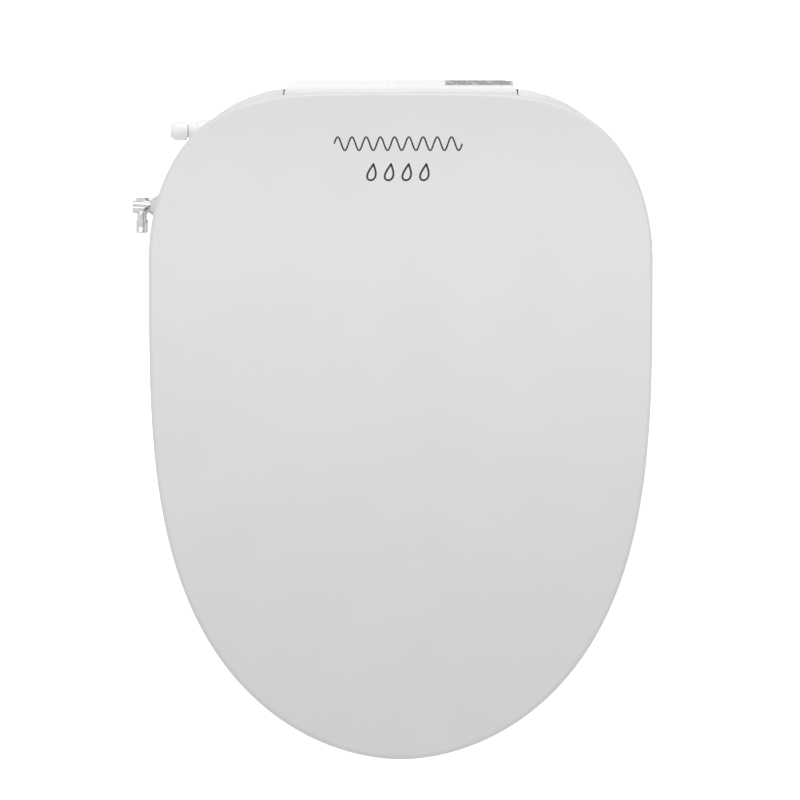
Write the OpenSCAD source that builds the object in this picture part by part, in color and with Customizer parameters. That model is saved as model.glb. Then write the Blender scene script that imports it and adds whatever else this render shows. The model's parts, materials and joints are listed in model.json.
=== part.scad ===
// Electric bidet seat: a heated seat and a lid hinged on a slim base that holds two wash
// nozzles, a water tank, a warm-air dryer and a deodoriser.
// The origin is midway between the two fixing bolts, on the rim of the bowl.
// +Y points to the rear, +Z points up, and the water inlet is on the -X side.

/* [Lid] */
// Half of the lid's greatest width
lid_half_w = 193; // [192:0.5:194]
// From the fixing bolts forward to the tip of the lid
lid_front = 451.3; // [445:0.1:460]
// From the fixing bolts back to the rear edge of the lid
lid_rear = 60; // [59:0.5:60.5]
// Height of the lid's rear edge above the rim
lid_h = 106; // [106:0.5:108]
// Fall of the lid's top towards the front, per unit of length
lid_slope = 0.108; // [0.104:0.002:0.11]
// Wall thickness of the lid
lid_wall = 3; // [2.6:0.1:3]
// Depth of the lid's skirt along the front and sides
skirt_front = 24; // [20:1:25]
// Depth of the lid's skirt at the hinge
skirt_rear = 12; // [10:1:12]

/* [Seat] */
// Gap between the outlines of the lid and the seat
seat_inset = 6.5; // [6:0.5:8]
// Half width of the opening in the seat
hole_half_w = 108; // [100:1:110]
// Half length of the opening in the seat
hole_half_l = 116; // [105:1:120]
// Distance of the opening's centre in front of the bolts
hole_y = 256; // [250:1:260]
// Height of the seat's underside above the rim
seat_under = 10; // [9:0.5:11]
// Height of the seat's top at its front
seat_front_h = 42; // [41:0.5:43]
// Rise of the seat's top towards the rear, per unit of length
seat_slope = 0.075; // [0.07:0.001:0.077]

/* [Base] */
// Half of the base's greatest width
base_half_w = 184; // [183:0.5:184.5]
// From the bolts forward to the front face of the base
base_front = 92; // [92:0.1:93]
// Height of the base's side shoulders
shoulder_h = 50; // [49:0.5:51]
// Half width of the raised housing in the middle
block_half_w = 104; // [104:0.1:104.4]
// Wall thickness of the base covers
wall = 2.5; // [2.2:0.1:2.6]
// Height of the joint between the upper and lower covers
split_z = 20; // [19.5:0.1:20]
// Half width of the rear service cover
tail_half_w = 89.5; // [88:0.5:89.5]
// From the bolts back to the rear face of the service cover
tail_rear = 70; // [69:0.5:71]

/* [Hinge] */
// Distance of the hinge axis behind the bolts
hinge_y = 38; // [37.5:0.5:38]
// Height of the hinge axis above the rim
hinge_z = 88; // [87.5:0.5:88]
// Diameter of the hinge shafts
shaft_d = 8; // [7:0.5:8]

/* [Fixing bracket] */
// Nominal spacing of the two fixing bolts
bolt_spacing = 155; // [150:1:160]
// Length of each bolt slot
slot_l = 30; // [20:1:32]
// Width of each bolt slot
slot_w = 8.4; // [8:0.1:9]

/* [Nozzles] */
// Diameter of each wash nozzle
nozzle_d = 13; // [12:0.5:13]
// Distance between the two nozzles
nozzle_pitch = 22; // [21:0.5:22]
// Slope of the nozzles below the horizontal
nozzle_angle = 30; // [29:0.5:30]
// Stroke of each nozzle
nozzle_stroke = 50; // [40:1:50]
// Module of the nozzle racks and pinions
gear_m = 0.8; // [0.8:0.1:0.8]
// Number of teeth on each pinion
pinion_teeth = 12; // [12:1:12]

/* [Water inlet] */
// Distance of the inlet in front of the bolts
inlet_y = 27.5; // [26:0.5:29]
// Height of the inlet above the rim
inlet_z = 31; // [30:0.5:32]
// Diameter of the hose spigot
spigot_d = 9.2; // [9:0.1:9.4]
// Distance of the drain plug behind the bolts
drain_y = 31; // [30.5:0.5:31]

/* [Hidden] */
$fn = 64;
TILT = atan(lid_slope);
LID_WIDE_Y = -67.1;
LID_FRONT_P = 1.9;
LID_FRONT_Q = 3.4;
LID_REAR_P = 4.308;
LID_REAR_Q = 1.925;
BASE_P = 4.2;
BASE_Q = 2;
BASE_REAR = 67;
EDGE_STEPS = 16;
GAP = 0.4;

seat_y0 = -(base_front + 4);
hole_p = 2.4;
part_z0 = 22;
part_slope = 0.05;
relief_half_w = 100;
relief_h = 34;
arm_x = block_half_w + 4;
arm_y1 = 22;
arm_under = shoulder_h + 3;
lug_x = block_half_w + 1;
lug_t = 7.5;
lid_lug_x = lug_x + lug_t + 1;
lid_lug_t = 6;
barrel_r = 10.5;
shaft_x0 = 58;
shaft_x1 = lid_lug_x + lid_lug_t;
pocket_x = 114;
pocket_y = 34;
pocket_h = 16;
plate_top = [tail_rear - 4.6, shoulder_h + 3.4];
plate_foot = [tail_rear, shoulder_h - 3];
latch_y = -4;
latch_z = 10.5;
pivot_y = -91;
pivot_z = 20;
rack_top = 9;
pitch_r = gear_m * pinion_teeth / 2;
pinion_s = 60;
nozzle_l = pinion_s + nozzle_stroke + 8;
rack_start = pinion_s - 0.77 * PI * gear_m;
pinion_n = rack_top - gear_m + pitch_r + 0.15;
inlet_x = -(lid_half_w - 5);
spigot_x = inlet_x - 10.5;
elbow_r = 5;
drain_x = -177;
blower_y = -45;
blower_z = 49;
blower_r = 29;
blower_x = 60;
blower_w = 28;
flap_x = [60, 88];
flap_z = [12, 31];
flap_axis = [0.8 - base_front, flap_z[1] + 2];
deo_y = -30;
deo_z = 33;
button_ys = [-78, -62];
button_z = 34;
screw_xy = [[152, -78], [-152, -78], [122, 40], [-122, 40]];

function lid_z(y) = lid_h - lid_slope * (lid_rear - y);
function skirt(y) = let (f = min(1, max(0, (20 - y) / 120)))
    skirt_rear + (skirt_front - skirt_rear) * f * f * (3 - 2 * f);
function seat_z(y) = seat_front_h + seat_slope * (y + lid_front - 8);
function part_z(y) = part_z0 + part_slope * (y + lid_front - 8);
function mirrored(pts) = [for (k = [len(pts) - 1 : -1 : 0]) [-pts[k].x, pts[k].y]];
function backward(pts) = [for (k = [len(pts) - 1 : -1 : 0]) pts[k]];
// quarter of an oval from its widest point to its tip, rounder or squarer by p and q
function quarter(a, y0, y1, p, q, n = EDGE_STEPS) = [for (k = [0 : n]) let (f = 90 * k / n)
    [a * pow(cos(f), 2 / p), y0 + (y1 - y0) * pow(sin(f), 2 / q)]];
function butlast(pts) = [for (k = [0 : len(pts) - 2]) pts[k]];
function rest(pts) = [for (k = [1 : len(pts) - 1]) pts[k]];
// half of an outline on the +X side, from the front tip to the rear, made whole
function whole(right) = concat(right, rest(butlast(mirrored(right))));
function lid_outline(inset) = whole(concat(
    backward(quarter(lid_half_w - inset, LID_WIDE_Y, inset - lid_front, LID_FRONT_P, LID_FRONT_Q)),
    rest(quarter(lid_half_w - inset, LID_WIDE_Y, lid_rear - inset, LID_REAR_P, LID_REAR_Q))));
function base_right(inset) = concat(
    [[0, inset - base_front], [base_half_w - 14, inset - base_front]],
    [for (k = [1 : 5]) [base_half_w - 14 + (14 - inset) * sin(18 * k),
        14 - base_front - (14 - inset) * cos(18 * k)]],
    quarter(base_half_w - inset, LID_WIDE_Y, BASE_REAR - inset, BASE_P, BASE_Q));
function base_outline(inset) = whole(base_right(inset));
function seat_right(inset) = backward(concat(
    [[lid_half_w - seat_inset - inset, seat_y0 - inset]],
    rest(quarter(lid_half_w - seat_inset - inset, LID_WIDE_Y,
        seat_inset + inset - lid_front, LID_FRONT_P, LID_FRONT_Q))));
function rear_row(inset, n = 10) = let (w = lid_half_w - seat_inset - inset)
    [for (k = [1 : n - 1]) [w - 2 * w * k / n, seat_y0 - inset]];
function seat_outline(inset) = let (r = seat_right(inset))
    concat(r, rear_row(inset), butlast(mirrored(r)));
function hole_r(c, s, grow) = pow(pow(abs(c) / (hole_half_w + grow), hole_p)
    + pow(abs(s) / (hole_half_l + grow), hole_p), -1 / hole_p);
function hole_point(p, grow = 0) = let (v = [p.x, p.y + hole_y], u = v / norm(v))
    [0, -hole_y] + u * hole_r(u.x, u.y, grow);
function hole_outline(grow) = [for (k = [0 : 63]) let (f = 360 * k / 64, r = hole_r(cos(f), sin(f), grow))
    [r * cos(f), r * sin(f) - hole_y]];
// arc of points about c, from angle a0 to a1
function arc(c, r, a0, a1, n = 6) = [for (k = [0 : n])
    let (f = a0 + (a1 - a0) * k / n) c + r * [cos(f), sin(f)]];
function tail_outline(inset, y0) = let (w = tail_half_w - inset, r = 12 - inset, y1 = tail_rear - inset)
    concat([[-w, y0], [w, y0]], arc([w - r, y1 - r], r, 0, 90), arc([r - w, y1 - r], r, 90, 180));

// solid of stacked closed rings, ended by a fan at each end
module stack(rings, top, bottom) {
    n = len(rings[0]);
    m = len(rings);
    polyhedron(
        concat([for (ring = rings) each ring], [top, bottom]),
        concat(
            [for (k = [0 : m - 2], j = [0 : n - 1], half = [0, 1])
                let (i = (j + 1) % n, l = k + 1)
                half == 0 ? [k * n + j, k * n + i, l * n + i] : [k * n + j, l * n + i, l * n + j]],
            [for (j = [0 : n - 1]) [m * n, (j + 1) % n, j]],
            [for (j = [0 : n - 1]) [m * n + 1, (m - 1) * n + j, (m - 1) * n + (j + 1) % n]]));
}
// ring-shaped solid of closed sections, one at each station
module hoop(sections) {
    n = len(sections[0]);
    m = len(sections);
    polyhedron(
        [for (s = sections) each s],
        [for (k = [0 : m - 1], j = [0 : n - 1], half = [0, 1])
            let (i = (j + 1) % n, l = (k + 1) % m)
            half == 0 ? [k * n + j, k * n + i, l * n + i] : [k * n + j, l * n + i, l * n + j]]);
}
module prism(pts, z0, z1) translate([0, 0, z0]) linear_extrude(z1 - z0) polygon(pts);
// side outline of [y, z] points carried across from x0 to x1
module across(pts, x0, x1)
    translate([x0, 0, 0]) rotate([90, 0, 90]) linear_extrude(x1 - x0) polygon(pts);
module rod_x(r, x0, x1, y, z) translate([x0, y, z]) rotate([0, 90, 0]) cylinder(r = r, h = x1 - x0);
module rod_y(r, y0, y1, x, z) translate([x, y0, z]) rotate([-90, 0, 0]) cylinder(r = r, h = y1 - y0);
module rod_z(r, z0, z1, x, y) translate([x, y, z0]) cylinder(r = r, h = z1 - z0);
module box(lo, hi) translate(lo) cube(hi - lo);
module both_sides() {
    children();
    mirror([1, 0, 0]) children();
}
// frame lying on the lid's inner face at x, y
module under_lid(x, y) translate([x, y, lid_z(y) - lid_wall]) rotate([TILT, 0, 0]) children();
// frame of the nozzles: Y runs back along them, Z away from them
module along_nozzle(x = 0) translate([x, pivot_y, pivot_z]) rotate([nozzle_angle, 0, 0]) children();

// ---- lid ----
// outer skin as inset from the outline and drop below the top plane
LID_SKIN = [[90, 0], [26, 0.1], [9, 0.3], [4, 0.8], [2, 1.7], [0.7, 3.2], [0, 5.4]];
module lid_shell() {
    function ring(inset, drop) = [for (p = lid_outline(inset)) [p.x, p.y, lid_z(p.y) - drop]];
    function hem(inset) = [for (p = lid_outline(inset)) [p.x, p.y, lid_z(p.y) - skirt(p.y)]];
    mid_y = -lid_front / 2;
    color([0.86, 0.86, 0.865]) stack(
        concat([for (s = LID_SKIN) ring(s[0], s[1])],
            [hem(0.5), hem(lid_wall), ring(lid_wall, 6.2), ring(lid_wall + 1.6, lid_wall + 1.2),
                ring(lid_wall + 5, lid_wall), ring(90, lid_wall)]),
        [0, mid_y, lid_z(mid_y)], [0, mid_y, lid_z(mid_y) - lid_wall]);
}
// hinge lug with a foot plate that is screwed under the lid
module lid_arm() color([0.93, 0.93, 0.93]) difference() {
    union() {
        rod_x(9.5, lid_lug_x, shaft_x1, hinge_y, hinge_z);
        across([[hinge_y - 9, hinge_z], [hinge_y - 14, lid_z(hinge_y - 14) - lid_wall - 0.2],
            [hinge_y + 3, lid_z(hinge_y + 3) - lid_wall - 0.2], [hinge_y + 9, hinge_z]], lid_lug_x, shaft_x1);
        under_lid(lid_lug_x - 5, hinge_y - 50) box([0, 0, -2.4], [11, 46, -0.2]);
    }
    rod_x(shaft_d / 2 + 0.05, lid_lug_x - 1, shaft_x1 + 1, hinge_y, hinge_z);
}
module lid_arm_right() lid_arm();
module lid_arm_left() mirror([1, 0, 0]) lid_arm();
module lid_bumpers() color([0.9, 0.9, 0.9]) both_sides() {
    under_lid(147, -200) rod_z(7, seat_z(-200) + 0.6 - lid_z(-200) + lid_wall, -0.1, 0, 0);
    under_lid(72, -402) rod_z(6, seat_z(-402) + 0.6 - lid_z(-402) + lid_wall, -0.1, 0, 0);
}
module lid_damper_shaft() color("silver") rod_x(shaft_d / 2, shaft_x0, shaft_x1 + 0.5, hinge_y, hinge_z);

// ---- seat ----
// section as share of the width from the outer edge and drop below the top
SEAT_SKIN = [[0, 8], [0.012, 4.6], [0.04, 2], [0.09, 0.6], [0.2, 0.2], [0.45, 1.6], [0.7, 4.6], [0.88, 8.4],
    [0.96, 11.4], [0.99, 14], [1, 17]];
SEAT_LINING = [[0.96, 16], [0.93, 13.4], [0.7, 7.8], [0.45, 4.8], [0.12, 3.6], [0.04, 7]];
module seat_top() {
    function at(o, s) = o + (hole_point(o) - o) * s;
    function skin(o, pts) = [for (s = pts) let (p = at(o, s[0])) [p.x, p.y, seat_z(p.y) - s[1]]];
    function foot(o, s) = let (p = at(o, s)) [p.x, p.y, part_z(p.y) + GAP];
    color([0.93, 0.93, 0.92]) hoop([for (o = seat_outline(0)) concat(
        [foot(o, 0)], skin(o, SEAT_SKIN), [foot(o, 1), foot(o, 0.96)], skin(o, SEAT_LINING), [foot(o, 0.04)])]);
}
module below_part_plane() translate([0, -lid_front + 8, part_z0]) rotate([atan(part_slope), 0, 0])
    box([-250, -60, -80], [250, 420, 0]);
module seat_bottom() color([0.88, 0.88, 0.88]) difference() {
    intersection() {
        prism(seat_outline(0), seat_under, 60);
        below_part_plane();
    }
    prism(hole_outline(0), 0, 70);
    difference() {
        prism(seat_outline(wall), seat_under + wall, 70);
        prism(hole_outline(wall), 0, 71);
        box([-relief_half_w - wall, -hole_y, 0], [relief_half_w + wall, seat_y0 + 1, relief_h + wall]);
    }
    box([-relief_half_w, -hole_y + 4, 0], [relief_half_w, seat_y0 + 1, relief_h]);
}
module seat_heater() {
    function at(o, s) = o + (hole_point(o) - o) * s;
    function corner(o, s, drop) = let (p = at(o, s)) [p.x, p.y, seat_z(p.y) - drop];
    color([0.8, 0.6, 0.3]) hoop([for (o = seat_outline(0))
        [corner(o, 0.16, 4.4), corner(o, 0.45, 5.4), corner(o, 0.68, 8.2),
            corner(o, 0.68, 9), corner(o, 0.45, 6.2), corner(o, 0.16, 5.2)]]);
}
module seat_feet() color([0.8, 0.8, 0.8]) both_sides() {
    rod_z(9, 0, seat_under, 147, -200);
    rod_z(8, 0, seat_under, 72, -402);
}
module seat_arm() color([0.93, 0.93, 0.92]) difference() {
    union() {
        intersection() {
            prism(arm_plan(0), arm_under, 100);
            across([[seat_y0, 40], [seat_y0, seat_z(seat_y0) - 8], [seat_y0 + 30, seat_z(seat_y0) - 1],
                [arm_y1, 78], [arm_y1, 40]], 0, 200);
        }
        rod_x(10, lug_x, lug_x + lug_t, hinge_y, hinge_z);
        across([[hinge_y - 40, arm_under + 3], [hinge_y - 40, 75], [hinge_y - 7, hinge_z + 7],
            [hinge_y + 9, hinge_z - 4], [hinge_y - 3, hinge_z - 9.6], [hinge_y - 15, arm_under + 3]],
            lug_x, lug_x + lug_t);
    }
    difference() {
        prism(arm_plan(wall), arm_under - 1, arm_under + 9);
        for (y = [-60, -20]) box([90, y, 0], [190, y + 2, 90]);
    }
    rod_x(shaft_d / 2 + 0.05, lug_x - 1, lug_x + lug_t + 1, hinge_y, hinge_z);
}
function arm_plan(inset) = let (a = lid_half_w - seat_inset - inset)
    concat([[arm_x + inset, seat_y0 + inset]],
        [for (p = concat([[a, seat_y0 + inset]], quarter(a, LID_WIDE_Y, lid_rear - 10 - inset, LID_REAR_P, LID_REAR_Q)))
            if (p.y < arm_y1 - inset && p.x > arm_x + 20) p],
        [[arm_x + 34 - inset, arm_y1 - inset], [arm_x + inset, arm_y1 - inset]]);
module seat_arm_right() seat_arm();
module seat_arm_left() mirror([1, 0, 0]) seat_arm();
module seat_damper_shaft() color("silver")
    rod_x(shaft_d / 2, -shaft_x1 - 0.5, -shaft_x0, hinge_y, hinge_z);

// ---- base covers ----
// side outline of the raised housing, inset for its inner face
function block_profile(inset) = let (drop = 7.5 + inset)
    [[inset - base_front, shoulder_h - 10], [inset - base_front, lid_z(-base_front) - drop],
        [hinge_y - 18, lid_z(hinge_y - 18) - drop], [hinge_y - 5, hinge_z + 9.5 - inset],
        [hinge_y - 4 - inset, hinge_z - 6], [hinge_y - 4 - inset, shoulder_h - 10]];
module base_top_cover() color([0.97, 0.97, 0.97]) difference() {
    union() {
        difference() {
            prism(base_outline(0), split_z + GAP, shoulder_h);
            difference() {
                prism(base_outline(wall), split_z, shoulder_h - wall);
                for (p = screw_xy) rod_z(4, split_z, shoulder_h, p.x, p.y);
            }
        }
        across(block_profile(0), -block_half_w, block_half_w);
        rod_x(barrel_r, -block_half_w, block_half_w, hinge_y, hinge_z);
    }
    across(block_profile(wall), wall - block_half_w, block_half_w - wall);
    rod_x(barrel_r - 1.8, -shaft_x0 - 36, shaft_x0 + 36, hinge_y, hinge_z);
    rod_x(shaft_d / 2 + 0.05, -150, 150, hinge_y, hinge_z);
    // room for the rear service cover
    box([-tail_half_w - 0.5, hinge_y - 3.6, 0], [tail_half_w + 0.5, 90, shoulder_h + 1]);
    for (p = screw_xy) rod_z(1.55, 0, 36, p.x, p.y);
    rod_x(0.88, flap_x[0] - 3, flap_x[1] + 3, flap_axis.x, flap_axis.y);
    nozzle_window();
    dryer_window();
    window_seat(0);
    rod_x(8, -200, -160, -inlet_y, inlet_z);
    rod_x(9, -190, -135, drain_y, inlet_z);
    for (y = button_ys) box([170, y - 6.2, button_z - 6.2], [200, y + 6.2, button_z + 6.2]);
    box([160, deo_y - 13.4, deo_z - 11.4], [200, deo_y + 13.4, deo_z + 11.4]);
}
module nozzle_window() box([-27, -base_front - 1, 0], [27, -base_front + wall + 1, 33]);
module dryer_window() box([flap_x[0] - 1, -base_front - 1, flap_z[0] - 1],
    [flap_x[1] + 1, -base_front + wall + 1, flap_z[1] + 4]);
module window_seat(inset) translate([60, -70, lid_z(-70) - 7.5]) rotate([TILT, 0, 0])
    box([inset - 15, inset - 6, -4], [15 - inset, 6 - inset, 0.01]);
module rear_cover() color([0.97, 0.97, 0.97]) difference() {
    intersection() {
        prism(tail_outline(0, hinge_y - 3), split_z + GAP, 60);
        across([[hinge_y - 3, split_z], [hinge_y - 3, shoulder_h + 5], [tail_rear - 10, shoulder_h + 5],
            plate_top, plate_foot, [tail_rear, split_z]], -95, 95);
    }
    intersection() {
        prism(tail_outline(wall, hinge_y - 8), split_z, 60);
        across([[hinge_y - 8, split_z - 1], [hinge_y - 8, shoulder_h + 5 - wall],
            [tail_rear - 10.5, shoulder_h + 5 - wall], plate_top - [2.1, 1.8],
            plate_foot - [wall, 0.8], [tail_rear - wall, split_z - 1]], -95, 95);
    }
    on_slope() box([-26.2, -3.4, -0.6], [26.2, 3.4, 3]);
}
// frame on the slope behind the lid, where the rating plate sits
module on_slope() translate([60, (plate_top.x + plate_foot.x) / 2, (plate_top.y + plate_foot.y) / 2])
    rotate([atan2(plate_foot.y - plate_top.y, plate_foot.x - plate_top.x), 0, 0]) children();
module rating_plate() color([0.72, 0.72, 0.73]) on_slope() box([-26, -3.2, -0.6], [26, 3.2, 0]);
module base_bottom() color([0.95, 0.95, 0.95]) difference() {
    union() {
        prism(base_outline(0), 3, split_z);
        prism(tail_outline(0, 20), 3, split_z);
    }
    difference() {
        union() {
            prism(base_outline(wall), 3 + wall, split_z + 1);
            prism(tail_outline(wall, 20), 3 + wall, split_z + 1);
        }
        box([-pocket_x - 2, -pocket_y - 2, 0], [pocket_x + 2, pocket_y + 2, pocket_h + 2]);
        for (p = screw_xy) rod_z(4, 0, split_z, p.x, p.y);
    }
    box([-pocket_x, -pocket_y, 0], [pocket_x, pocket_y, pocket_h]);
    for (p = screw_xy) rod_z(1.55, 0, 40, p.x, p.y);
    for (p = screw_xy) rod_z(3.2, 0, 6, p.x, p.y);
    nozzle_window();
    dryer_window();
    rod_x(2.4, pocket_x - 1, 190, latch_y, latch_z);
    box([160, latch_y - 6.3, latch_z - 5.3], [190, latch_y + 6.3, latch_z + 5.3]);
    rod_y(5.6, tail_rear - wall - 1, tail_rear + 1, 68, 12);
}
module base_gasket() color([0.25, 0.25, 0.25]) difference() {
    union() {
        prism(base_outline(0.8), split_z, split_z + GAP);
        prism(tail_outline(0.8, 20), split_z, split_z + GAP);
    }
    prism(base_outline(2.2), split_z - 1, split_z + 1);
    prism(tail_outline(2.2, 20), split_z - 1, split_z + 1);
    nozzle_window();
    dryer_window();
}
module mounting_bracket() color([0.3, 0.3, 0.32]) difference() {
    union() {
        box([-100, -28, 0], [100, 28, 5]);
        both_sides() box([92, -26, 5], [98, 26, 10]);
        // tongue and catch for the release latch
        box([99, latch_y - 12, 0], [112, latch_y - 3, 2]);
        box([106.5, latch_y - 9, 2], [112, latch_y - 3, 7]);
    }
    both_sides() bolt_slot();
}
module bolt_slot() {
    half = (slot_l - slot_w) / 2;
    for (side = [-1, 1]) rod_z(slot_w / 2, -1, 6, bolt_spacing / 2 + side * half, 0);
    box([bolt_spacing / 2 - half, -slot_w / 2, -1], [bolt_spacing / 2 + half, slot_w / 2, 6]);
}
module rubber_pads() color([0.2, 0.2, 0.2]) both_sides() {
    rod_z(8, 0, 3, 130, -70);
    rod_z(8, 0, 3, 126, 28);
}

// ---- wash nozzles ----
module nozzle_tube() {
    r = nozzle_d / 2;
    pitch = PI * gear_m;
    teeth = floor((nozzle_l - rack_start) / pitch);
    root = rack_top - 2 * gear_m - 0.2;
    color([0.9, 0.9, 0.9]) difference() {
        union() {
            rod_y(r, 9, nozzle_l, 0, 0);
            // toothed rack along the top of the tube
            translate([-1.8, 0, 0]) rotate([90, 0, 90]) linear_extrude(3.6) polygon(concat(
                [[nozzle_l, r - 2], [rack_start, r - 2], [rack_start, root]],
                [for (k = [0 : teeth - 1], s = [[0.05, 0], [0.17, 1], [0.37, 1], [0.49, 0]])
                    [rack_start + (k + s[0]) * pitch, s[1] == 0 ? root : rack_top]],
                [[nozzle_l, root]]));
        }
        rod_y(2.4, 0, nozzle_l - 6, 0, 0);
    }
}
module nozzle_tip() color([0.97, 0.97, 0.97]) difference() {
    union() {
        rod_y(nozzle_d / 2, 2, 8.7, 0, 0);
        rod_y(nozzle_d / 2 - 1.2, 0, 2, 0, 0);
        rod_y(2.2, 8.7, 16, 0, 0);
    }
    for (k = [-1, 0, 1]) rod_z(0.6, 0, 8, 1.8 * k, 4.6);
    rod_y(1.2, 3.5, 17, 0, 0);
}
module pinion(x) color([0.95, 0.95, 0.9]) along_nozzle(x)
    translate([-2.4, pinion_s, pinion_n]) rotate([90, 0, 90]) difference() {
        union() {
            linear_extrude(4.8) polygon([for (k = [0 : pinion_teeth - 1],
                s = [[-0.28, -1.25], [-0.17, 0.1], [-0.09, 0.85], [0.09, 0.85], [0.17, 0.1], [0.28, -1.25]])
                let (f = -90 + 360 * (k + s[0]) / pinion_teeth, r = pitch_r + s[1] * gear_m)
                [r * cos(f), r * sin(f)]]);
            translate([0, 0, x < 0 ? -3 : 4.8]) cylinder(r = 2.6, h = 3);
        }
        translate([0, 0, -4]) cylinder(r = 1.5, h = 12);
    }
module stepper(x, side) along_nozzle(x) translate([0, pinion_s, pinion_n]) {
    color([0.75, 0.76, 0.78]) rod_x(10, side * 12 - 5, side * 12 + 5, 0, 0);
    color([0.9, 0.75, 0.3]) rod_x(1.45, min(side * 7, -side * 2.4), max(side * 7, -side * 2.4), 0, 0);
}
module rear_nozzle() along_nozzle(-nozzle_pitch / 2) nozzle_tube();
module front_nozzle() along_nozzle(nozzle_pitch / 2) nozzle_tube();
module rear_nozzle_tip() along_nozzle(-nozzle_pitch / 2) nozzle_tip();
module front_nozzle_tip() along_nozzle(nozzle_pitch / 2) nozzle_tip();
module rear_pinion() pinion(-nozzle_pitch / 2);
module front_pinion() pinion(nozzle_pitch / 2);
module rear_nozzle_motor() stepper(-nozzle_pitch / 2, -1);
module front_nozzle_motor() stepper(nozzle_pitch / 2, 1);
// bearing block that both nozzles slide through
module nozzle_guide() color([0.8, 0.82, 0.84]) difference() {
    along_nozzle() union() {
        box([-22, 10, -9], [22, 48, 11.5]);
        box([-22, 48, -9], [22, 118, -7.2]);
    }
    for (x = [-nozzle_pitch / 2, nozzle_pitch / 2]) along_nozzle(x) {
        rod_y(nozzle_d / 2 + 0.08, 0, 60, 0, 0);
        box([-2.1, 0, 0], [2.1, 60, 13]);
    }
}
module nozzle_guard() color([0.96, 0.96, 0.96]) difference() {
    box([-26.6, -base_front - 0.6, 6], [26.6, -base_front + 1.4, 32.6]);
    for (x = [-nozzle_pitch / 2, nozzle_pitch / 2]) along_nozzle(x) rod_y(nozzle_d / 2 + 0.7, -20, 20, 0, 0);
}

// ---- water ----
module heater_tank() color([0.85, 0.87, 0.88]) difference() {
    box([-100, -86, 22], [-44, 26, 74]);
    box([-97.5, -83.5, 24.5], [-46.5, 23.5, 71.5]);
    rod_z(2, 70, 76, -56, -20);
    rod_x(2, -102, -96, drain_y - 14, inlet_z);
    rod_x(2, -102, -96, -28, 33);
}
module tank_heater() color([0.75, 0.72, 0.68]) {
    for (y = [-70, -50]) rod_x(3, -90, -64, y, 40);
    translate([-64, -60, 40]) rotate([0, 0, -90]) rotate_extrude(angle = 180) translate([10, 0]) circle(r = 3);
}
module inlet_union() color([0.82, 0.83, 0.85]) difference() {
    union() {
        translate([inlet_x - 4.2, -inlet_y, inlet_z]) rotate([0, 90, 0]) cylinder(r1 = 5.4, r2 = 9.2, h = 5.6);
        rod_x(9.2, inlet_x + 1.4, -185, -inlet_y, inlet_z);
        rod_x(7.6, -185.1, -166, -inlet_y, inlet_z);
        rod_x(10, -174.4, -171.4, -inlet_y, inlet_z);
    }
    rod_x(4.55, inlet_x - 5, -176, -inlet_y, inlet_z);
    rod_x(3, -180, -160, -inlet_y, inlet_z);
}
module inlet_washer() color([0.2, 0.2, 0.2]) difference() {
    rod_x(8.9, -185, -182.4, -inlet_y, inlet_z);
    rod_x(7.6, -190, -170, -inlet_y, inlet_z);
}
// barrel across the base's side, a square back, and a grooved spigot that points forward
module inlet_elbow() color([0.82, 0.83, 0.85]) difference() {
    union() {
        rod_x(elbow_r, inlet_x - 18, inlet_x - 4.4, -inlet_y, inlet_z);
        rod_x(4.5, inlet_x - 4.5, -177, -inlet_y, inlet_z);
        box([spigot_x - 4.6, -inlet_y, inlet_z - 5.2], [inlet_x - 4.6, 7.2 - inlet_y, inlet_z + 2.6]);
        rod_y(spigot_d / 2 - 0.8, -inlet_y - 10, -inlet_y, spigot_x, inlet_z);
        rod_y(spigot_d / 2, -inlet_y - 19, -inlet_y - 9.6, spigot_x, inlet_z);
        translate([spigot_x, -inlet_y - 19, inlet_z]) rotate([90, 0, 0])
            cylinder(r1 = spigot_d / 2, r2 = spigot_d / 2 - 1, h = 1);
    }
    rod_x(2.2, inlet_x - 12, -170, -inlet_y, inlet_z);
    rod_y(2.2, -inlet_y - 25, -inlet_y, spigot_x, inlet_z);
}
module solenoid_valve() color([0.3, 0.35, 0.45]) {
    difference() {
        box([-166, -42, 21], [-140, -14, 41]);
        rod_x(3, -167, -150, -inlet_y, inlet_z);
    }
    rod_x(9.5, -140, -118, -inlet_y, inlet_z);
}
module flow_sensor() color([0.35, 0.38, 0.4]) difference() {
    rod_y(9, -14, 12, -150, inlet_z);
    rod_y(7, -11, 7, -150, inlet_z);
    rod_y(1.05, 6, 10, -150, inlet_z);
}
module flow_turbine() color([0.95, 0.95, 0.98]) {
    rod_y(1, -9, 9.5, -150, inlet_z);
    blades = 8;
    translate([-150, 4, inlet_z]) rotate([90, 0, 0]) linear_extrude(10) polygon([for (k = [0 : blades - 1],
        s = [[-16, 2.4], [-4.6, 6], [4.6, 6], [16, 2.4]]) let (f = 360 * k / blades + s[0])
        [s[1] * cos(f), s[1] * sin(f)]]);
}
// round tube swept through the points, mitred at each bend
module tube_path(pts, r, sides = 10) {
    last = len(pts) - 1;
    function unit(v) = v / norm(v);
    function way(k) = unit(unit(pts[min(k + 1, last)] - pts[min(k, last - 1)])
        + unit(pts[max(k, 1)] - pts[max(k - 1, 0)]));
    function ring(k) = let (t = way(k), u = unit(cross(t, [0.1, 0.2, 1])), v = cross(t, u))
        [for (j = [sides - 1 : -1 : 0]) pts[k] + r * (cos(360 * j / sides) * u + sin(360 * j / sides) * v)];
    stack([for (k = [0 : last]) ring(k)], pts[0], pts[last]);
}
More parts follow.
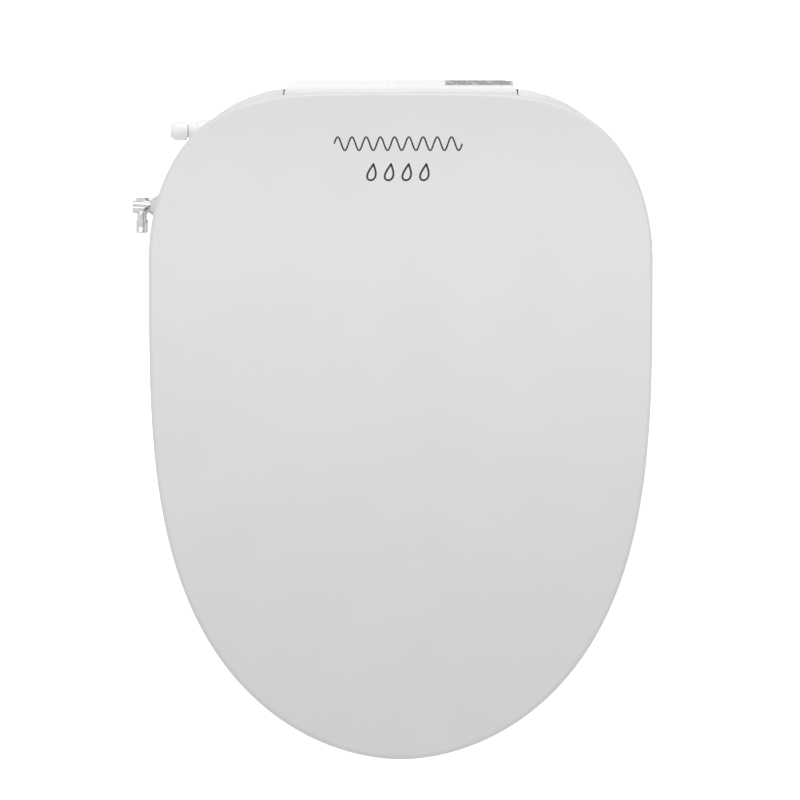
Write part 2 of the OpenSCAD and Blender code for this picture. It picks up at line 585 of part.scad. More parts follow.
// the same points with each corner cut into a short curve of the given reach
function eased(pts, reach) = concat([pts[0]], [for (k = [1 : len(pts) - 2], f = [0, 0.25, 0.5, 0.75, 1])
    let (a = pts[k] + reach * (pts[k - 1] - pts[k]) / norm(pts[k - 1] - pts[k]),
        b = pts[k] + reach * (pts[k + 1] - pts[k]) / norm(pts[k + 1] - pts[k]))
    (1 - f) * (1 - f) * a + 2 * f * (1 - f) * pts[k] + f * f * b], [pts[len(pts) - 1]]);
module water_hoses() color([0.75, 0.8, 0.82]) {
    tube_path(eased([[-150, 12, 31], [-150, 17, 31], [-120, 17, 31], [-110, 2, 32], [-110, -28, 33],
        [-100, -28, 33]], 4), 2.5);
    tube_path(eased([[-56, -20, 74], [-56, -20, 80], [-40, -20, 80], [-33, -30, 70], [-30, -60, 38],
        [-24, -64, 34]], 3), 2);
}
module drain_port() color([0.95, 0.95, 0.95]) difference() {
    union() {
        rod_x(7.2, drain_x + 14.2, -150, drain_y, inlet_z);
        rod_x(8.6, -156, -136, drain_y, inlet_z);
        rod_x(2.4, -137, -128, drain_y, inlet_z);
    }
    rod_x(5.06, drain_x + 13, -140, drain_y, inlet_z);
    rod_x(1.6, -141, -127, drain_y, inlet_z);
}
module drain_plug() color([0.95, 0.95, 0.95]) difference() {
    union() {
        translate([drain_x, drain_y, inlet_z]) rotate([0, 90, 0]) rotate_extrude() polygon(concat(
            [[0, 0]], arc([2, 5.4], 5.4, -90, 0), [[7.4, 13.4], [0, 13.4]]));
        rod_x(5, drain_x + 13, -142, drain_y, inlet_z);
    }
    box([drain_x - 1, drain_y - 0.8, inlet_z - 4.5], [drain_x + 1.6, drain_y + 0.8, inlet_z + 4.5]);
}

// ---- dryer and deodoriser ----
module blower_housing() color([0.25, 0.26, 0.28]) difference() {
    union() {
        rod_x(blower_r, blower_x, blower_x + blower_w, blower_y, blower_z);
        box([blower_x, 0.4 - base_front, flap_z[0]], [blower_x + blower_w, blower_y, flap_z[1]]);
    }
    rod_x(blower_r - 2, blower_x + 2, blower_x + blower_w - 2, blower_y, blower_z);
    box([blower_x + 2, -base_front, flap_z[0] + 2], [blower_x + blower_w - 2, blower_y, flap_z[1] - 2]);
    rod_x(14, blower_x + blower_w - 3, blower_x + blower_w + 1, blower_y, blower_z);
    rod_x(2.2, blower_x - 1, blower_x + 3, blower_y, blower_z);
}
module blower_impeller() color([0.85, 0.85, 0.88]) {
    rod_x(2, blower_x - 4, blower_x + 8, blower_y, blower_z);
    rod_x(23, blower_x + 4, blower_x + 5.5, blower_y, blower_z);
    for (k = [0 : 23]) translate([blower_x + 5.5, blower_y, blower_z]) rotate([15 * k, 0, 0])
        translate([0, 20, 0]) rotate([35, 0, 0]) box([0, -3, -0.5], [18, 3, 0.5]);
}
module blower_motor() color([0.7, 0.71, 0.73]) difference() {
    rod_x(13, blower_x - 19, blower_x - 0.4, blower_y, blower_z - 4);
    rod_x(2.4, blower_x - 5, blower_x, blower_y, blower_z);
}
module dryer_heater() color([0.8, 0.7, 0.5]) difference() {
    box([blower_x + 3, -82, 16], [blower_x + blower_w - 3, -76, 29]);
    for (x = [0 : 3]) box([blower_x + 5 + 5 * x, -83, 18], [blower_x + 8 + 5 * x, -75, 27]);
}
module dryer_flap() color([0.96, 0.96, 0.96]) {
    box([flap_x[0] + 0.5, -base_front - 1.8, flap_z[0] - 0.5], [flap_x[1] - 0.5, -base_front, flap_z[1] + 2]);
    rod_x(1.4, flap_x[0] + 0.5, flap_x[1] - 0.5, flap_axis.x, flap_axis.y);
    rod_x(0.8, flap_x[0] - 2.5, flap_x[1] + 2.5, flap_axis.x, flap_axis.y);
}
module deodoriser_cartridge() color([0.85, 0.88, 0.86]) difference() {
    box([141, deo_y - 13, deo_z - 11], [182, deo_y + 13, deo_z + 11]);
    box([140, deo_y - 11, deo_z - 9], [176, deo_y + 11, deo_z + 9]);
}
module deodoriser_duct() color([0.3, 0.31, 0.33]) difference() {
    box([117, deo_y - 13, deo_z - 12.6], [139.6, deo_y + 13, deo_z + 12.6]);
    rod_x(11.4, 119, 141, deo_y, deo_z);
    rod_x(1.6, 116, 120, deo_y, deo_z);
}
module deodoriser_fan() color([0.8, 0.82, 0.85]) {
    rod_x(1.4, 117.5, 126, deo_y, deo_z);
    rod_x(4, 122, 132, deo_y, deo_z);
    for (k = [0 : 6]) translate([127, deo_y, deo_z]) rotate([360 * k / 7, 0, 0])
        translate([0, 0, 6.4]) rotate([0, 0, 40]) box([-4, -0.5, -3], [4, 0.5, 3.6]);
}

// ---- controls and electrics ----
module side_button(y) color([0.9, 0.9, 0.9]) {
    box([178.5, y - 5.9, button_z - 5.9], [186.4, y + 5.9, button_z + 5.9]);
    box([176.5, y - 7.2, button_z - 7], [178.5, y + 7.2, button_z + 7]);
}
module wash_button() side_button(button_ys[0]);
module power_button() side_button(button_ys[1]);
module button_board() color([0.15, 0.4, 0.25]) {
    box([170, -88, button_z - 9], [171.6, -52, button_z + 9]);
    for (y = button_ys) box([171.6, y - 3, button_z - 3], [175, y + 3, button_z + 3]);
}
module release_button() color([0.6, 0.62, 0.65]) {
    box([165.5, latch_y - 6, latch_z - 5], [175, latch_y + 6, latch_z + 5]);
    rod_x(2.2, 103, 166, latch_y, latch_z);
    rod_x(4.6, 141, 143, latch_y, latch_z);
    box([106.7, latch_y - 2.6, 2.6], [111.7, latch_y + 2.6, latch_z]);
}
module release_spring() {
    turns = 5;
    steps = 12;
    sides = 6;
    function ring(k) = let (f = 360 * k / steps, x = pocket_x + 3 + 23.2 * k / (turns * steps))
        [for (j = [sides - 1 : -1 : 0]) let (g = 360 * j / sides, r = 3.7 + 0.45 * cos(g))
            [x + 0.45 * sin(g), latch_y + r * cos(f), latch_z + r * sin(f)]];
    first = [pocket_x + 3, latch_y + 3.7, latch_z];
    color("silver") stack([for (k = [0 : turns * steps]) ring(k)], first, first + [23.2, 0, 0]);
}
module main_board() {
    color([0.12, 0.38, 0.24]) box([-80, 52, 10], [80, 53.6, 44]);
    color([0.2, 0.2, 0.2]) for (x = [-60 : 24 : 60]) box([x, 46, 16], [x + 12, 52, 34]);
}
module power_supply() color([0.2, 0.22, 0.25]) {
    box([46, -6, 22], [98, 26, 70]);
    box([50, -2, 70], [94, 22, 78]);
}
module receiver_window() color([0.12, 0.1, 0.12]) window_seat(0.1);
module cord_gland() color([0.2, 0.2, 0.2]) difference() {
    rod_y(5.5, tail_rear - 9, tail_rear, 68, 12);
    rod_y(3, tail_rear - 10, tail_rear + 1, 68, 12);
}
module case_screws() color("silver") for (p = screw_xy) {
    rod_z(1.5, 4.5, 34, p.x, p.y);
    rod_z(3, 3.6, 6, p.x, p.y);
}
module damper(x0, x1) color([0.3, 0.3, 0.32]) difference() {
    rod_x(8.6, x0, x1, hinge_y, hinge_z);
    rod_x(shaft_d / 2 + 0.05, x0 - 1, x1 + 1, hinge_y, hinge_z);
}
module seat_damper() damper(-92, -shaft_x0 + 4);
module lid_damper() damper(shaft_x0 - 4, 92);

base_bottom();
base_top_cover();
rear_cover();
rating_plate();
base_gasket();
mounting_bracket();
rubber_pads();
receiver_window();
nozzle_guide();
nozzle_guard();
rear_nozzle_motor();
front_nozzle_motor();
heater_tank();
tank_heater();
inlet_union();
inlet_washer();
solenoid_valve();
flow_sensor();
water_hoses();
drain_port();
blower_housing();
blower_motor();
dryer_heater();
deodoriser_duct();
button_board();
main_board();
power_supply();
cord_gland();
release_spring();
case_screws();
seat_damper();
lid_damper();
seat_top();
seat_bottom();
seat_heater();
seat_feet();
seat_arm_left();
seat_arm_right();
seat_damper_shaft();
lid_shell();
lid_arm_left();
lid_arm_right();
lid_bumpers();
lid_damper_shaft();
rear_nozzle();
rear_nozzle_tip();
front_nozzle();
front_nozzle_tip();
rear_pinion();
front_pinion();
inlet_elbow();
drain_plug();
release_button();
wash_button();
power_button();
dryer_flap();
deodoriser_cartridge();
deodoriser_fan();
blower_impeller();
flow_turbine();
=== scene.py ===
# Electric bidet seat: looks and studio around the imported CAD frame. Metres, +Y to the rear.
import bpy
import json
import math
import bmesh
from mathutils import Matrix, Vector


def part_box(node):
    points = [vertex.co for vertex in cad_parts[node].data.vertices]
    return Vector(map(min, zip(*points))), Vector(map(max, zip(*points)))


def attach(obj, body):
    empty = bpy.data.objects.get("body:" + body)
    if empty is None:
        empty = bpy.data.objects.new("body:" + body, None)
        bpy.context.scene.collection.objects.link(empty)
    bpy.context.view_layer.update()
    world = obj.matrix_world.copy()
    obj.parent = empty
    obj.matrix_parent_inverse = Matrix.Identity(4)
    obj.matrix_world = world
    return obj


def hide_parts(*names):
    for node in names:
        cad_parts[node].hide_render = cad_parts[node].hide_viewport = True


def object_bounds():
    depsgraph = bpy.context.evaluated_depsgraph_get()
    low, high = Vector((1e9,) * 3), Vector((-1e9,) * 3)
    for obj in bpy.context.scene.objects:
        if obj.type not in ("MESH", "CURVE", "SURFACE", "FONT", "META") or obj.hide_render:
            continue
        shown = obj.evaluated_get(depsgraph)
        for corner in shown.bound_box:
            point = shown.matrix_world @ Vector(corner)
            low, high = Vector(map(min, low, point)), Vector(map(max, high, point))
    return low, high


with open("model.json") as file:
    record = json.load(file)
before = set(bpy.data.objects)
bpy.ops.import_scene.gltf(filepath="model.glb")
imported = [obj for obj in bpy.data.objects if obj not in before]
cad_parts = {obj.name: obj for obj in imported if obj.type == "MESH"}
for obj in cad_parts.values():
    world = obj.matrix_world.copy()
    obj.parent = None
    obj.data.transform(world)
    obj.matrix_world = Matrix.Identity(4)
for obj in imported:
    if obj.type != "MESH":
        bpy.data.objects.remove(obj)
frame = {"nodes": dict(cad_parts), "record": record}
cad_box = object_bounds()
MM = 0.001

# ---------------------------------------------------------------- places from the frame
lid_lo, lid_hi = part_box("lid_shell")
seat_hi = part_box("seat_top")[1]
LID_HALF_W, LID_FRONT, LID_REAR = lid_hi.x, lid_lo.y, lid_hi.y
LID_WIDE_Y = -67.1 * MM
LID_SLOPE = 0.108
LID_TOP = 106 * MM
LID_WALL = 3 * MM
SKIRT_FRONT, SKIRT_REAR = 24 * MM, 12 * MM
FRONT_P, FRONT_Q = 1.9, 3.4
REAR_P, REAR_Q = 4.308, 1.925
SEAT_SLOPE, SEAT_FRONT_H = 0.075, 42 * MM
PART_SLOPE, PART_FRONT_H = 0.05, 22 * MM
SEAT_SETBACK = 8 * MM
HOLE_HALF_W, HOLE_HALF_L, HOLE_Y, HOLE_P = 108 * MM, 116 * MM, -256 * MM, 2.4


def lid_z(y):
    return LID_TOP - LID_SLOPE * (LID_REAR - y)


def skirt(y):
    f = min(1, max(0, (20 * MM - y) / (120 * MM)))
    return SKIRT_REAR + (SKIRT_FRONT - SKIRT_REAR) * f * f * (3 - 2 * f)


def seat_z(y):
    return SEAT_FRONT_H + SEAT_SLOPE * (y - LID_FRONT - SEAT_SETBACK)


def part_z(y):
    return PART_FRONT_H + PART_SLOPE * (y - LID_FRONT - SEAT_SETBACK)


# ---------------------------------------------------------------- outlines
def quarter(a, y0, y1, p, q, n):
    """Quarter of an oval from its widest point to its tip, rounder or squarer by p and q."""
    turns = [math.pi / 2 * k / n for k in range(n)] + [math.pi / 2]
    return [(a * max(math.cos(t), 0) ** (2 / p) if t < math.pi / 2 else 0.0,
             y0 + (y1 - y0) * math.sin(t) ** (2 / q)) for t in turns]


def whole(right):
    return right + [(-x, y) for x, y in right[-2:0:-1]]


def lid_outline(inset, n=48):
    a = LID_HALF_W - inset
    front = quarter(a, LID_WIDE_Y, LID_FRONT + inset, FRONT_P, FRONT_Q, n)
    rear = quarter(a, LID_WIDE_Y, LID_REAR - inset, REAR_P, REAR_Q, n)
    return whole(front[::-1] + rear[1:])


# ---------------------------------------------------------------- meshes
def make(name, verts, faces, body, material, smooth=True):
    mesh = bpy.data.meshes.new(name)
    mesh.from_pydata(verts, [], faces)
    mesh.validate()
    obj = bpy.data.objects.new(name, mesh)
    bpy.context.scene.collection.objects.link(obj)
    mesh.materials.append(material)
    if smooth:
        mesh.shade_smooth()
    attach(obj, body)
    return obj


def stacked(rings, top=None, bottom=None, closed=False):
    """Skin over rings of equal length, ended by a fan at each end, or closed into a hoop."""
    n, m = len(rings[0]), len(rings)
    verts = [v for ring in rings for v in ring]
    faces = []
    for k in range(m if closed else m - 1):
        k2 = (k + 1) % m
        faces += [(k * n + j, k2 * n + j, k2 * n + (j + 1) % n, k * n + (j + 1) % n) for j in range(n)]
    if top is not None:
        verts.append(top)
        faces += [(len(verts) - 1, j, (j + 1) % n) for j in range(n)]
    if bottom is not None:
        verts.append(bottom)
        faces += [(len(verts) - 1, (m - 1) * n + (j + 1) % n, (m - 1) * n + j) for j in range(n)]
    return verts, faces


def use(obj, kind, name, **settings):
    modifier = obj.modifiers.new(name, kind)
    for key, value in settings.items():
        setattr(modifier, key, value)


def apply_modifiers(obj):
    graph = bpy.context.evaluated_depsgraph_get()
    mesh = bpy.data.meshes.new_from_object(obj.evaluated_get(graph))
    obj.modifiers.clear()
    obj.data = mesh


def softened(node, radius, material, segments=3, angle=32, merged=True):
    """The moulded form of a CAD node: the same solid with its sharp edges rounded.

    Merged, its flat faces are joined first and the rounding is held back beside short edges, which
    leaves many edges almost sharp. Not merged, the rounding is made in full."""
    source = frame["nodes"][node]
    mesh = source.data.copy()
    mesh.name = node + "_form"
    obj = bpy.data.objects.new(node + "_form", mesh)
    bpy.context.scene.collection.objects.link(obj)
    work = bmesh.new()
    work.from_mesh(mesh)
    bmesh.ops.remove_doubles(work, verts=work.verts, dist=0.01 * MM)
    if merged:
        bmesh.ops.dissolve_limit(work, angle_limit=math.radians(0.6), verts=work.verts, edges=work.edges)
    work.to_mesh(mesh)
    work.free()
    mesh.materials.clear()
    mesh.materials.append(material)
    use(obj, "BEVEL", "rounding", width=radius, segments=segments, limit_method="ANGLE",
        angle_limit=math.radians(angle), harden_normals=True, use_clamp_overlap=merged,
        miter_outer="MITER_ARC")
    apply_modifiers(obj)
    obj.data.shade_smooth()
    work = bmesh.new()
    work.from_mesh(obj.data)
    for edge in work.edges:
        edge.smooth = len(edge.link_faces) == 2 and edge.calc_face_angle(0) < math.radians(angle)
    work.to_mesh(obj.data)
    work.free()
    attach(obj, frame_body[node])
    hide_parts(node)


frame_body = {node: body for body, nodes in frame["record"]["behaviour"]["bodies"].items() for node in nodes}


# ---------------------------------------------------------------- materials
def linear(code):
    """sRGB hex to a linear colour."""
    parts = [int(code[i:i + 2], 16) / 255 for i in (1, 3, 5)]
    return [c / 12.92 if c <= 0.04045 else ((c + 0.055) / 1.055) ** 2.4 for c in parts] + [1.0]


def add(tree, kind, inputs=None, outputs=None, **settings):
    """Adds a shader node with its settings and links.

    An input is a value or another node's output; an output goes to a socket further on."""
    node = tree.nodes.new("ShaderNode" + kind)
    for key, value in settings.items():
        setattr(node, key, value)
    for socket, value in (inputs or {}).items():
        if isinstance(value, bpy.types.NodeSocket):
            tree.links.new(value, node.inputs[socket])
        else:
            node.inputs[socket].default_value = value
    for socket, target in (outputs or {}).items():
        tree.links.new(node.outputs[socket], target)
    return node


def surface(name, **sockets):
    """A new material: its node tree and its shader, with constants on the shader's own sockets."""
    material = bpy.data.materials.new(name)
    material.use_nodes = True
    tree = material.node_tree
    shader = tree.nodes["Principled BSDF"]
    for socket, value in sockets.items():
        shader.inputs[socket.replace("_", " ")].default_value = value
    return material, tree, shader


def coated(tree, shader, light, dark, drift, drift_span):
    """The base colour: it goes from light to dark as the drift pattern rises through its span."""
    share = add(tree, "MapRange", {"Value": drift, "From Min": drift_span[0], "From Max": drift_span[1]})
    add(tree, "Mix", {"Factor": share.outputs["Result"], "A": linear(light), "B": linear(dark)},
        {"Result": shader.inputs["Base Color"]}, data_type="RGBA")


def worn(tree, shader, gloss, wear, wear_span, ripple, depth_mm):
    """The sheen, its roughness moving over gloss with the wear pattern, and the skin's relief."""
    add(tree, "MapRange", {"Value": wear, "From Min": wear_span[0], "From Max": wear_span[1],
                           "To Min": gloss[0], "To Max": gloss[1]}, {"Result": shader.inputs["Roughness"]})
    add(tree, "Bump", {"Height": ripple, "Distance": depth_mm * MM}, {"Normal": shader.inputs["Normal"]})


def clouded(tree, shader, light, dark, drift, gloss, wear, skin_mm, depth_mm):
    """A whole finish from three cloudy patterns in the piece's own space: tone, sheen and skin.

    drift and wear are each a spacing in millimetres, a detail, and the span that the pattern uses."""
    where = add(tree, "TexCoord").outputs["Object"]
    tint, rub, ripple = [
        add(tree, "TexNoise", {"Vector": where, "Scale": 1 / (size_mm * MM), "Detail": detail,
                               "Roughness": 0.55}).outputs["Fac"]
        for size_mm, detail in (drift[:2], wear[:2], (skin_mm, 1))]
    coated(tree, shader, light, dark, tint, drift[2:])
    worn(tree, shader, gloss, rub, wear[2:], ripple, depth_mm)


def moulded(name, light, dark, gloss, peel_mm, peel_depth_mm, ior=1.5, drift_mm=60):
    """Injection-moulded plastic: slow drift of tone from the melt's flow, and the tool's fine skin.

    gloss is the lowest and highest roughness; peel is the spacing and depth of the skin's ripple."""
    material, tree, shader = surface(name, IOR=ior)
    clouded(tree, shader, light, dark, (drift_mm, 3, 0.35, 0.65), gloss, (9, 4, 0.3, 0.7),
            peel_mm, peel_depth_mm)
    return material


# Polypropylene, moulded in a polished tool: even pale grey with a soft sheen and a faint orange peel.
pp_grey = moulded("polypropylene_grey", "#DCDCDD", "#DADADB", (0.30, 0.38), 2.2, 0.003)
# ABS, moulded in a polished tool: clean white, slightly glossier than the lid.
abs_white = moulded("abs_white", "#F6F6F5", "#F4F4F3", (0.24, 0.32), 1.8, 0.001, ior=1.53)
# Antibacterial polypropylene of the seat: warm white, smooth from use, soft reflections.
pp_seat = moulded("polypropylene_seat_white", "#F2F1EE", "#EFEEEA", (0.26, 0.36), 2.0, 0.001)
# Acetal of sliding and turning pieces: milky white, waxy sheen.
acetal = moulded("acetal_natural", "#E9E8E2", "#E2E1DA", (0.34, 0.44), 0.9, 0.004, ior=1.48, drift_mm=12)
# Glass-filled nylon of motors' and fans' casings: near black with a fine sandy skin.
nylon_black = moulded("glass_filled_nylon", "#26272A", "#1D1E21", (0.5, 0.62), 0.5, 0.02, ior=1.53,
                      drift_mm=15)
# Natural polypropylene of tanks: cloudy grey-white, satin.
pp_tank = moulded("polypropylene_natural", "#D9DCDD", "#CDD1D3", (0.42, 0.5), 1.4, 0.006, drift_mm=25)
# Nitrile rubber of pads and washers: matt near black with a fine blasted skin.
nitrile = moulded("nitrile_rubber", "#232324", "#1A1A1B", (0.7, 0.82), 0.45, 0.03, ior=1.52, drift_mm=10)
# Thermoplastic elastomer of feet and buffers: soft matt grey, slightly dusty.
elastomer = moulded("elastomer_grey", "#C4C4C3", "#B6B6B5", (0.6, 0.72), 0.5, 0.02, drift_mm=8)
# Silicone of the hoses: cloudy grey white with a tacky sheen.
silicone = moulded("silicone_tube", "#C9D0D2", "#BCC4C6", (0.36, 0.5), 0.8, 0.008, ior=1.41, drift_mm=14)
# Smoked acrylic of the receiver window: almost black, mirror smooth.
acrylic_smoked = moulded("acrylic_smoked", "#150F12", "#100B0E", (0.05, 0.09), 3, 0.0005, ior=1.49)


def plated(name, light, dark, gloss, spot_mm):
    """Bright plating over a polished casting: mirror finish with faint water marks."""
    material, tree, shader = surface(name, Metallic=1.0)
    clouded(tree, shader, light, dark, (5, 3, 0.35, 0.65), gloss, (spot_mm, 5, 0.45, 0.75), 3.5, 0.002)
    return material


def drawn(name, light, dark, gloss, along=(1, 0, 0), line_mm=0.25):
    """Drawn, ground or brushed metal: fine lines along one axis, coarse enough to show."""
    material, tree, shader = surface(name, Metallic=1.0)
    stretch = [1 / (line_mm * MM) * (0.03 if a else 1) for a in along]
    where = add(tree, "TexCoord").outputs["Object"]
    lines = add(tree, "Mapping", {"Vector": where, "Scale": stretch}).outputs["Vector"]
    scratch = add(tree, "TexNoise", {"Vector": lines, "Scale": 1.0, "Detail": 3}).outputs["Fac"]
    coated(tree, shader, light, dark, scratch, (0.35, 0.65))
    worn(tree, shader, gloss, scratch, (0.3, 0.7), scratch, 0.004)
    return material


# Chromium plate on the brass inlet fitting: cold mirror with a few dried drops.
chrome = plated("chrome_plate", "#F0F0F1", "#E2E2E3", (0.05, 0.14), 1.1)
# Zinc-plated steel of motor cans: grey with a milky spangle.
zinc = plated("zinc_plate", "#B9BCC0", "#A4A7AC", (0.22, 0.4), 0.8)
# Pressed stainless steel of the bracket, rolled along its length.
stainless = drawn("stainless_rolled", "#C3C5C7", "#AFB1B4", (0.24, 0.4))
# Ground steel of the hinge shafts: fine turning lines around the bar.
ground_steel = drawn("steel_ground", "#BFC1C4", "#A9ABAE", (0.14, 0.28), along=(0, 1, 1), line_mm=0.18)
# Nickel alloy heater sheath, dulled and straw-coloured by heat.
sheath = drawn("heater_sheath", "#A3937C", "#7F7468", (0.4, 0.6), line_mm=0.4)


def circuit_board():
    """Glass-epoxy board: green solder mask with paler copper tracks under it and a silky gloss."""
    material, tree, shader = surface("epoxy_circuit_board", IOR=1.55, Roughness=0.35)
    where = add(tree, "TexCoord").outputs["Object"]
    tracks = add(tree, "TexBrick", {"Vector": where, "Scale": 1 / (6 * MM), "Mortar Size": 0.06,
                                    "Color1": linear("#0E4A2B"), "Color2": linear("#11502F"),
                                    "Mortar": linear("#2F7A4C")}, {"Color": shader.inputs["Base Color"]})
    add(tree, "Bump", {"Height": tracks.outputs["Fac"], "Distance": 0.03 * MM},
        {"Normal": shader.inputs["Normal"]})
    return material


def film(name, light, dark, gloss):
    """Printed film or ink: flat, slightly uneven coverage of the press, satin."""
    material, tree, shader = surface(name, IOR=1.5)
    clouded(tree, shader, light, dark, (0.7, 2, 0.3, 0.7), gloss, (4, 2, 0.3, 0.7), 0.4, 0.002)
    return material


board_green = circuit_board()
# Polyester film of the rating plate: silver grey.
polyester = film("polyester_film", "#C6C6C7", "#BABABB", (0.35, 0.5))
# Pad-printing ink: charcoal black, opaque, satin.
ink = film("printing_ink", "#242527", "#303133", (0.45, 0.6))

CAD_FINISH = {
    acetal: ["nozzle_guide", "rear_pinion", "front_pinion", "deodoriser_fan", "blower_impeller",
             "flow_turbine"],
    nylon_black: ["blower_housing", "deodoriser_duct", "flow_sensor", "solenoid_valve", "power_supply",
                  "seat_damper", "lid_damper"],
    pp_tank: ["heater_tank"],
    nitrile: ["base_gasket"],
    silicone: ["water_hoses"],
    zinc: ["rear_nozzle_motor", "front_nozzle_motor", "blower_motor"],
    stainless: ["case_screws", "release_spring"],
    sheath: ["tank_heater", "dryer_heater", "seat_heater"],
    board_green: ["main_board", "button_board"],
    pp_grey: ["lid_arm_left", "lid_arm_right"],
}
for material, nodes in CAD_FINISH.items():
    for node in nodes:
        mesh = frame["nodes"][node].data
        mesh.materials.clear()
        mesh.materials.append(material)

# ---------------------------------------------------------------- moulded and turned pieces
# rounding asked for at the edges, in millimetres; beside short edges it comes out narrower
ROUNDED = [
    (abs_white, 1.6, ["base_top_cover", "rear_cover"]),
    (abs_white, 1.1, ["base_bottom"]),
    (abs_white, 0.5, ["nozzle_guard", "dryer_flap", "wash_button", "power_button", "release_button",
                      "deodoriser_cartridge", "drain_port"]),
    (abs_white, 0.6, ["drain_plug"]),
    (acetal, 0.45, ["rear_nozzle", "front_nozzle", "rear_nozzle_tip", "front_nozzle_tip"]),
    (chrome, 0.35, ["inlet_elbow", "inlet_union"]),
    (nitrile, 0.4, ["inlet_washer", "rubber_pads", "cord_gland"]),
    (elastomer, 1.3, ["seat_feet", "lid_bumpers"]),
    (stainless, 0.5, ["mounting_bracket"]),
    (ground_steel, 0.4, ["seat_damper_shaft", "lid_damper_shaft"]),
    (polyester, 0.15, ["rating_plate"]),
    (acrylic_smoked, 0.3, ["receiver_window"]),
]
for material, radius, nodes in ROUNDED:
    for node in nodes:
        softened(node, radius * MM, material)
# wide faces around pockets, which joined flat faces would tear
for node in ("seat_bottom", "seat_arm_left", "seat_arm_right"):
    softened(node, 0.4 * MM, pp_seat, merged=False)


# ---------------------------------------------------------------- lid
RIM = 3.2 * MM
RIM_FALL = 4.95 * MM
CROWN = 0.45 * MM
CROWN_FADE = 14 * MM


def lid_drop(inset):
    """Fall of the lid's outer face below its top plane: a tight rim, then an almost flat crown."""
    if inset >= RIM:
        return CROWN * math.exp(-(inset - RIM) / CROWN_FADE)
    t = 1 - inset / RIM
    return CROWN + RIM_FALL * (1 - math.sqrt(1 - t * t))


def lid_ring(inset, drop):
    return [(x, y, lid_z(y) - drop) for x, y in lid_outline(inset)]


def lid_hem(inset, lift=0.0):
    return [(x, y, lid_z(y) - skirt(y) + lift) for x, y in lid_outline(inset)]


def shrunk(ring, centre, share):
    return [tuple(c + (p - c) * share for p, c in zip(point, centre)) for point in ring]


def build_lid():
    rim = [RIM * (1 - math.cos(math.pi / 2 * k / 9)) for k in range(1, 10)]
    flat = [k * MM for k in (4.6, 7, 11, 17, 26, 40, 60, 88)]
    centre = (0.0, LID_FRONT / 2, 0.0)
    top = (0.0, centre[1], lid_z(centre[1]))
    under = (0.0, centre[1], lid_z(centre[1]) - LID_WALL)
    outer = [lid_ring(i, lid_drop(i)) for i in reversed([0] + rim + flat)]
    inner = [lid_ring(LID_WALL, 6.6 * MM), lid_ring(LID_WALL + 0.6 * MM, 4.8 * MM),
             lid_ring(LID_WALL + 2.2 * MM, 3.5 * MM), lid_ring(LID_WALL + 5 * MM, LID_WALL),
             lid_ring(88 * MM, LID_WALL)]
    hem = [lid_hem(0.35 * MM, 0.7 * MM), lid_hem(0.6 * MM, 0.15 * MM), lid_hem(1.1 * MM),
           lid_hem(LID_WALL - 0.5 * MM), lid_hem(LID_WALL, 0.5 * MM)]
    rings = ([shrunk(outer[0], top, s) for s in (0.3, 0.65)] + outer + hem + inner
             + [shrunk(inner[-1], under, s) for s in (0.65, 0.3)])
    lid = make("lid", *stacked(rings, top, under), "lid", pp_grey)
    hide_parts("lid_shell")


build_lid()


# ---------------------------------------------------------------- seat ring
SEAT_INSET = 6.5 * MM
SEAT_REAR = seat_hi.y
# shares of the section's width from the outer edge, and drops below the top, in millimetres
SEAT_SKIN = [(0, 8.6), (0.006, 6.4), (0.018, 4.4), (0.04, 2.5), (0.075, 1.1), (0.12, 0.4), (0.2, 0.1),
             (0.31, 0.5), (0.45, 1.6), (0.58, 3.0), (0.7, 4.7), (0.8, 6.5), (0.88, 8.4), (0.94, 10.6),
             (0.975, 12.8), (0.993, 15), (1, 17.2)]
SEAT_LINING = [(0.96, 16), (0.93, 13.4), (0.7, 7.8), (0.45, 4.8), (0.12, 3.6), (0.04, 7)]


def seat_outline(n=56, across=28):
    a = LID_HALF_W - SEAT_INSET
    front = quarter(a, LID_WIDE_Y, LID_FRONT + SEAT_INSET, FRONT_P, FRONT_Q, n)[::-1]
    right = [p for p in front if p[1] < SEAT_REAR - 2 * MM] + [(a, SEAT_REAR)]
    rear = [(a - 2 * a * k / across, SEAT_REAR) for k in range(1, across)]
    return right + rear + [(-x, y) for x, y in right[:0:-1]]


def hole_point(p):
    x, y = p[0], p[1] - HOLE_Y
    reach = ((abs(x) / HOLE_HALF_W) ** HOLE_P + (abs(y) / HOLE_HALF_L) ** HOLE_P) ** (-1 / HOLE_P)
    return x * reach, HOLE_Y + y * reach


def build_seat():
    """Ring shell with a rolled outer edge, dished towards the opening, joined to the tray below."""
    sections = []
    for o in seat_outline():
        h = hole_point(o)

        def at(share):
            return o[0] + (h[0] - o[0]) * share, o[1] + (h[1] - o[1]) * share

        def on_skin(share, drop):
            x, y = at(share)
            return x, y, seat_z(y) - drop * MM

        def on_seam(share):
            x, y = at(share)
            return x, y, part_z(y) + 0.35 * MM

        sections.append([on_seam(0)] + [on_skin(*s) for s in SEAT_SKIN] + [on_seam(1), on_seam(0.96)]
                        + [on_skin(*s) for s in SEAT_LINING] + [on_seam(0.04)])
    verts, faces = stacked(sections, closed=True)
    ring = make("seat_ring", verts, faces, "seat", pp_seat)
    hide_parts("seat_top")


build_seat()


